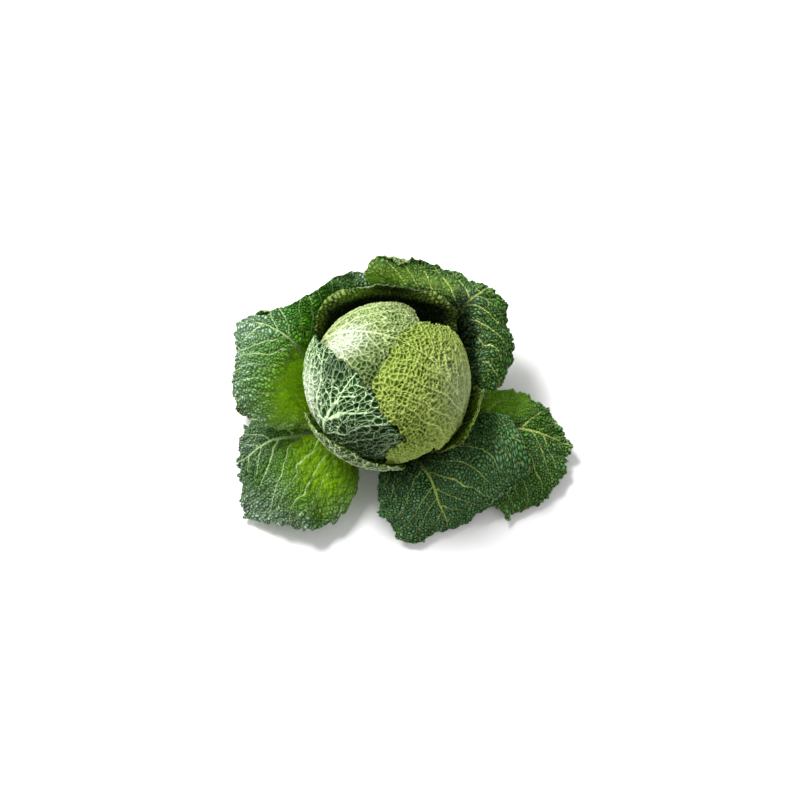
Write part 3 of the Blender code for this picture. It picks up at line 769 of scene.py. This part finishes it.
OUTER_LEAVES = {
    "outer_back_left": leaf(
        154, [(23, 12), (52, 19), (86, 56), (104, 92), (132, 102), (162, 84)], (90, 104),
        ((0.08, 0.6, 0.92, 1.0, 0.95, 0.78, 0.45), (0.08, 0.44, 1.06, 0.94, 0.40, 0.19, 0.12)),
        cup=((45, 24, 5), (35, 20, -10)), curl=((-30, -50, -50), (-10, -10, -20)),
        lit=[(-95, -8, 58, 40), (-88, 20, 60, 26)], bare=[(-70, 88, 92, 42)]),
    "outer_left": leaf(
        176, [(22.5, 4.5), (60, 5), (105, 14), (152, 16)], (44, 40), (0.08, 0.15, 0.5, 0.9, 1.0, 0.86, 0.52),
        cup=10, curl=-30, wave=2, stem=0.35),
    "outer_front_left": leaf(
        200, [(23, 9), (50, 9.5), (86, 30.5), (122, 41), (160, 14)], (94, 42),
        ((0.08, 0.70, 1.06, 1.07, 1.0, 0.82, 0.58), (0.08, 0.4, 0.7, 0.95, 1.0, 0.85, 0.6)),
        cup=((30, 10, 0), (-4, -8, -8)), curl=((-20, -50, -40), (-30, -50, -60)),
        tip=(-0.10, 0.14), phase=1.3, lit=[(-55, -73, 28, 42), (-72, -40, 25, 26)]),
    "outer_front_right": leaf(
        297, [(23, 10), (50, 18), (80, 44), (108, 48), (138, 4)], (100, 62),
        ((0.08, 0.62, 0.95, 1.0, 0.98, 0.82, 0.60), (0.08, 0.5, 0.85, 1.0, 1.0, 0.9, 0.6)),
        cup=((35, 35, 35), (0, -10, -10)), curl=((-20, -30, -30), (-60, -70, -60)),
        tip=(0.14, 0.0), phase=2.1, midrib_width=2.6, rib=0.5, shade=(2, 20)),
    "outer_right": leaf(
        349, [(23, 5.5), (55, 9), (108, 30), (150, 37), (194, 12)], (42, 92),
        ((0.10, 0.5, 0.95, 0.95, 0.84, 0.66, 0.42), (0.06, 0.35, 0.75, 0.95, 1.0, 0.90, 0.68)),
        cup=((35, 20, 0), (-6, -23, -38)), curl=((-30, -40, -40), (-30, -30, -30)),
        tip=(0.16, 0.04), phase=0.7, shade=(6, 24),
        lit=[(110, 8, 33, 20), (124, 4, 37, 16), (138, 0, 38, 13)],
        dark=[(133, -24, 33, 7), (140, -39, 31, 7), (143, -55, 28, 7), (137, -71, 24, 8)]),
    "outer_back_right": leaf(
        46, [(23, 9), (62, 14), (92, 36), (106, 67), (111, 92), (121, 103), (138, 97), (158, 82)], (90, 86),
        ((0.08, 0.5, 0.9, 1.0, 1.0, 1.0, 0.9, 0.7), (0.08, 0.36, 0.7, 0.95, 1.0, 1.0, 0.92, 0.7)),
        bowl=(100, (0.82, 0.92, 0.97, 0.95, 1.03), (26, 8, 0, 0, -8)),
        tip=(0.22, 0.08), phase=3.0, wave=4, shade=(8, 16),
        dark=[(77, 82, 96, 15), (79, 68, 72, 24), (82, 48, 48, 24), (64, 82, 76, 18), (80, 30, 34, 24),
              (54, 90, 86, 15), (40, 96, 88, 14), (86, 58, 84, 16), (86, 36, 56, 24)],
        ridge=[(86, 92, 102, 9), (89, 80, 103, 9), (91, 66, 101, 9), (93, 53, 95, 9), (94, 41, 89, 9),
               (95, 29, 83, 9), (97, 16, 79, 9)],
        lit=[(-13, 115, 105, 20), (18, 112, 105, 13), (42, 107, 106, 13), (66, 103, 106, 12)]),
}


# ---- operators ----

def build_leaves(shapes, usual, looks, step, sizes):
    """Builds a group of leaves, each with the group's usual looks but for its own."""
    for name, shape in shapes.items():
        crinkled_leaf(name, shape, leaf_finish(name, shape.cell, sizes, **(usual | looks[name])), step, sizes)


class SAVOY_OT_stump(bpy.types.Operator):
    """Builds the cut stump."""
    bl_idname = "savoy.stump"
    bl_label = "Stump"

    def execute(self, context):
        turn = np.linspace(0, 2*pi, 97)[:-1]
        top, height = STUMP_BOX[1, 0], STUMP_BOX[1, 2]
        edge, corner = 1.5, 0.4    # the width of a rounded edge, and how far its middle point lies off the corner
        inset = 0.5    # how far the skin lies inside the CAD stump, so that its grooves can swell
        cut = top - edge
        profile = np.array([(0, 0), (cut*0.5, 0), (cut - edge, 0), (cut - corner, corner), (cut, edge)] +
                           [(cut + (top - cut)*t, edge + (height - 2*edge)*t) for t in np.linspace(0.05, 0.95, 20)] +
                           [(top, height - edge), (top - corner, height - corner), (top - edge, height),
                            (top*0.5, height), (0, height)])
        r, z = profile[:, :1], profile[:, 1:]
        groove = 0.4*np.sin(13*turn)*np.minimum(1, z/6)*(r > cut*0.9)
        r = (r - inset + groove)*(r > 0)
        rings = np.stack([r*np.cos(turn), r*np.sin(turn), z + 0*turn], -1)
        f = Finish("stump")
        fibre, ring = f.noise(160, 4.0), f.noise(60, 2.0)
        green, brown = rgb(168, 172, 108), rgb(150, 128, 84)
        mixed = f.blend(palette(context).stump, green, ring.step(0.35, 0.7)*0.6)
        mixed = f.blend(mixed, brown, fibre.step(0.58, 0.8)*0.6)
        material = f.surface(mixed, fibre*0.2 + 0.5, fibre, 0.6)
        place("stump_cut", closed_round("stump_cut", rings), "stump", material)
        return {"FINISHED"}


class SAVOY_OT_heart(bpy.types.Operator):
    """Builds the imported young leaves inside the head: a ball with the net of its outermost leaf on it."""
    bl_idname = "savoy.heart"
    bl_label = "Heart"

    def execute(self, context):
        c, sizes = palette(context), context.scene.savoy_sizes
        turn, lift = np.linspace(0, 2*pi, 221)[:-1][None, :], np.linspace(-pi/2, pi/2, 111)[:, None]
        way = np.stack([np.cos(lift)*np.cos(turn), np.cos(lift)*np.sin(turn), np.sin(lift) + 0*turn], -1)
        x, y = HEART_SIZE[0]*turn + 0*lift, HEART_SIZE[0]*lift + 0*turn
        fine, broad = np.stack([x, y, 0*x], -1)/sizes.small_cell, np.stack([x, y, 0*x], -1)/sizes.large_cell
        net = 1 - rise(cells(fine[..., 0], fine[..., 1])[0]*sizes.small_cell, 0.1, 0.85)
        inset, raised = 1.2, 0.012    # mm inside the CAD heart, and the net's height as a share of the radius
        rings = HEAD_CENTRE + way*(HEART_SIZE - inset)*(1 + raised*net)[..., None]
        plain = dict(across=90.0, phase=0.5, midrib_width=1.0, rib_width=0.0, cell=0.5, outward=0.5, lit=0.0,
                     shade=0.0, frost=1.0, back=1.0)
        marks = {key: np.full(x.shape, value) for key, value in plain.items()} | dict(fine=fine, broad=broad)
        material = leaf_finish("heart", 1.0, sizes, face_colours(c), back_colours(c))
        place("heart_ball", closed_round("heart_ball", rings, marks), "heart", material)
        return {"FINISHED"}


class SAVOY_OT_head_leaves(bpy.types.Operator):
    """Builds the four leaves wrapped over the head."""
    bl_idname = "savoy.head_leaves"
    bl_label = "Head leaves"

    def execute(self, context):
        c, sizes = palette(context), context.scene.savoy_sizes
        pale = back_colours(c, cell=c.head_pale, deep=rgb(36, 66, 14), bloom=rgb(140, 168, 98), net=c.head_vein)
        green = back_colours(c, cell=c.head_cell, deep=rgb(12, 34, 6), bloom=rgb(84, 124, 84), net=rgb(204, 232, 180))
        usual = dict(face=face_colours(c), back=back_colours(c), glow_share=0.04, specular=0.15)
        looks = {
            "head_back": dict(back=pale, bloom_share=0.35, net_share=0.75, painted_glare=1.0),
            "head_left": dict(back=green, bloom_share=0.05, net_share=0.9, painted_glare=0.8),
            "head_front": dict(bloom_share=0.2, net_share=0.6, painted_glare=1.0),
            "head_right": dict(bloom_share=0.25, net_share=0.6, painted_glare=0.3),
        }
        build_leaves(HEAD_LEAVES, usual, looks, sizes.head_step, sizes)
        return {"FINISHED"}


class SAVOY_OT_wrappers(bpy.types.Operator):
    """Builds the three loose leaves standing round the head."""
    bl_idname = "savoy.wrappers"
    bl_label = "Wrappers"

    def execute(self, context):
        c, sizes = palette(context), context.scene.savoy_sizes
        # painted shade and light: the dark sheltered colour deep inside a wrapper, and the bright exposed and lit
        # colours on its rolled rim
        face = face_colours(c, sheltered=rgb(52, 84, 30), exposed=rgb(146, 176, 76), lit=rgb(150, 170, 90),
                            bloom=c.head_pale, vein=c.yellow_vein)
        usual = dict(face=face, back=back_colours(c), outward=(0.7, 0.92), bloom_share=0.15, glow_share=0.25,
                     net_share=1.0, specular=0.15)
        dark = back_colours(c, cell=rgb(34, 76, 14), deep=rgb(10, 32, 4), bloom=rgb(74, 110, 40),
                            net=rgb(214, 230, 176))
        light = back_colours(c, cell=rgb(98, 130, 52), deep=rgb(50, 80, 26), bloom=c.head_pale,
                             net=rgb(206, 220, 168))
        looks = {"wrapper_front": dict(back=dark), "wrapper_right": {}, "wrapper_back": dict(back=light)}
        build_leaves(WRAPPERS, usual, looks, sizes.head_step*1.25, sizes)
        return {"FINISHED"}


class SAVOY_OT_outer_leaves(bpy.types.Operator):
    """Builds the six outer leaves."""
    bl_idname = "savoy.outer_leaves"
    bl_label = "Outer leaves"

    def execute(self, context):
        c, sizes = palette(context), context.scene.savoy_sizes

        def face(sheltered, exposed, lit=c.glowing, frosted=False):
            bloom, vein = (c.frost, c.frosted_vein) if frosted else (c.bloom, c.outer_vein)
            return face_colours(c, sheltered=sheltered, exposed=exposed, lit=lit, bloom=bloom, vein=vein)

        back = back_colours(c, cell=rgb(104, 130, 70), deep=rgb(62, 92, 40), bloom=rgb(150, 172, 130),
                            net=rgb(186, 204, 144))
        usual = dict(back=back, specular=0.1, lift=1.8)
        soft = dict(groove_share=0.9, lift=1.0)
        # the sheltered colours near the bases mix each leaf's own young green with painted light: a glow where light
        # shines through the left leaves
        looks = {
            "outer_back_left": dict(
                face=face(rgb(96, 196, 8), rgb(54, 134, 16), rgb(204, 250, 30), frosted=True),
                outward=(0.45, 1.0), haze=(0.5, 1.0), bloom_share=1.1, glow_share=0.16, **soft),
            "outer_left": dict(
                face=face(c.green, c.deep), bloom_share=0.3, **soft),
            "outer_front_left": dict(
                face=face(rgb(80, 150, 8), rgb(44, 102, 12), rgb(152, 200, 20), frosted=True),
                outward=(0.4, 0.9), haze=(0.55, 1.0), bloom_share=0.9, glow_share=0.16, **soft),
            "outer_front_right": dict(
                face=face(rgb(54, 108, 34), rgb(74, 146, 62)),
                outward=(0.0, 0.4), haze=(0.0, 0.4), glow_share=0.08),
            "outer_right": dict(
                # painted light: the sheltered colour near the head is made brighter, where the head shades this leaf
                face=face(rgb(146, 210, 52), rgb(88, 158, 38), rgb(156, 210, 60)),
                outward=(0.3, 0.75), haze=(0.3, 0.8), bloom_share=0.4, glow_share=0.16),
            "outer_back_right": dict(
                face=face(c.green, rgb(74, 136, 30), rgb(124, 142, 68)),
                outward=(0.3, 0.9), haze=(0.2, 0.7), bloom_share=0.2),
        }
        build_leaves(OUTER_LEAVES, usual, looks, sizes.outer_step, sizes)
        return {"FINISHED"}


class SAVOY_OT_stage(bpy.types.Operator):
    """Builds the floor, lights and camera."""
    bl_idname = "savoy.stage"
    bl_label = "Stage"

    def execute(self, context):
        stage, scene = context.scene.savoy_stage, context.scene
        line = np.linspace(-4, 4, 9)
        x, y = np.meshgrid(line, line, indexing="ij")
        floor = bpy.data.objects.new("floor", mesh_of("floor", np.stack([x, y, 0*x], -1)/MM, grid_quads(9, 9)))
        scene.collection.objects.link(floor)
        f = Finish("floor")
        grain = f.noise(3.0)
        pale = f.blend(palette(context).floor, rgb(246, 246, 246), grain)
        floor.data.materials.append(f.surface(pale, grain*0.1 + 0.6, grain, 0.1))
        low, high = (np.array(corner) for corner in CAD_BOX)
        aim_share, aim_shift = (0.5, 0.5, 0.38), (-0.005, -0.004, 0)    # shares of the box, and metres off that
        aim = (low + high)*aim_share + aim_shift
        back = np.array([0, -cos(stage.camera_lift), sin(stage.camera_lift)])
        camera = bpy.data.objects.new("camera", bpy.data.cameras.new("camera"))
        camera.data.lens = stage.lens
        camera.location = aim + back*stage.camera_distance
        camera.rotation_euler = (pi/2 - stage.camera_lift, 0, 0)
        scene.collection.objects.link(camera)
        scene.camera = camera
        for name, power, size, spot in (("key", stage.key, 0.9, (-0.95, 0.95, 1.8)),
                                        ("fill", stage.fill, 1.6, (1.3, -1.0, 1.4)),
                                        ("rim", stage.rim, 0.5, (-1.4, 0.5, 0.55))):
            light = bpy.data.objects.new(name, bpy.data.lights.new(name, "AREA"))
            light.data.energy, light.data.size = power, size
            light.location = spot
            toward = unit(aim - np.array(spot))
            light.rotation_euler = (float(np.arccos(-toward[2])), 0, float(np.arctan2(toward[0], -toward[1])) + pi)
            scene.collection.objects.link(light)
        world = bpy.data.worlds.new("even light")
        scene.world = world
        world.use_nodes = True
        world.node_tree.nodes["Background"].inputs[0].default_value = (1, 1, 1, 1)
        world.node_tree.nodes["Background"].inputs[1].default_value = stage.sky
        scene.view_settings.view_transform = "Standard"
        return {"FINISHED"}


class SAVOY_PT_panel(bpy.types.Panel):
    """Lists the cabbage's pieces and settings."""
    bl_idname = "SAVOY_PT_panel"
    bl_label = "Savoy cabbage"
    bl_space_type = "VIEW_3D"
    bl_region_type = "UI"
    bl_category = "Savoy"

    def draw(self, context):
        for operator in OPERATORS:
            self.layout.operator(operator.bl_idname)
        for settings in (context.scene.savoy_sizes, context.scene.savoy_colours, context.scene.savoy_stage):
            box = self.layout.box()
            for key in settings.bl_rna.properties.keys():
                if key not in ("rna_type", "name"):
                    box.prop(settings, key)


SETTINGS = {"savoy_sizes": SavoySizes, "savoy_colours": SavoyColours, "savoy_stage": SavoyStage}
OPERATORS = (SAVOY_OT_stage, SAVOY_OT_stump, SAVOY_OT_heart, SAVOY_OT_head_leaves, SAVOY_OT_wrappers,
             SAVOY_OT_outer_leaves)


def register():
    """Adds the settings, operators and panel to Blender."""
    for cls in (*SETTINGS.values(), *OPERATORS, SAVOY_PT_panel):
        bpy.utils.register_class(cls)
    for key, cls in SETTINGS.items():
        setattr(bpy.types.Scene, key, PointerProperty(type=cls))


def unregister():
    """Takes them out again."""
    for key in SETTINGS:
        delattr(bpy.types.Scene, key)
    for cls in (SAVOY_PT_panel, *reversed(OPERATORS), *reversed(tuple(SETTINGS.values()))):
        bpy.utils.unregister_class(cls)


def main():
    """Builds everything."""
    for start in ("Cube", "Light", "Camera"):
        if start in bpy.data.objects:
            bpy.data.objects.remove(bpy.data.objects[start], do_unlink=True)
    register()
    for operator in OPERATORS:
        group, name = operator.bl_idname.split(".")
        getattr(getattr(bpy.ops, group), name)()


if __name__ == "__main__":
    main()
